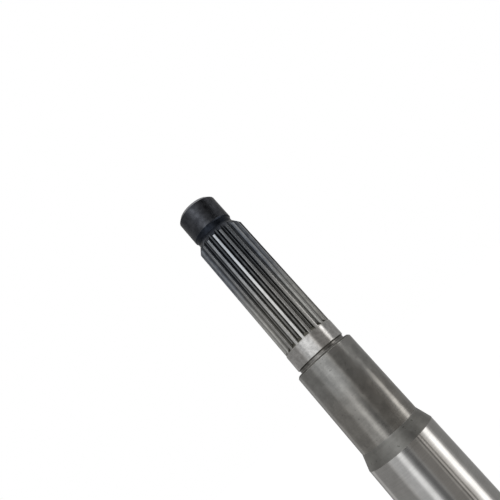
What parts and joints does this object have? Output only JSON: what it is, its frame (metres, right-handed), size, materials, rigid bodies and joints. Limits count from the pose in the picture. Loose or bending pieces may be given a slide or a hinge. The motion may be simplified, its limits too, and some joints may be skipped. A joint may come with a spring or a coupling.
{
  "type": "reverse gear shaft",
  "caption": "Stepped steel gearbox shaft with an external spline, a pilot collar, a relief groove, two ground journals joined by a short taper, and a plain end spigot.",
  "frame": {"origin": "centre of the large end face, on which the shaft stands", "axes": "+Z along the shaft's axis, towards the splined end; one tooth is centred on +X"},
  "size_m": [0.02, 0.02, 0.1269],
  "materials": {
    "steel": "ground and polished on the large journal and the collar, matte grey-brown on the middle journal and the taper, dark in the tooth spaces"
  },
  "bodies": {
    "root": {"shaft": "steel"}
  },
  "joints": []
}
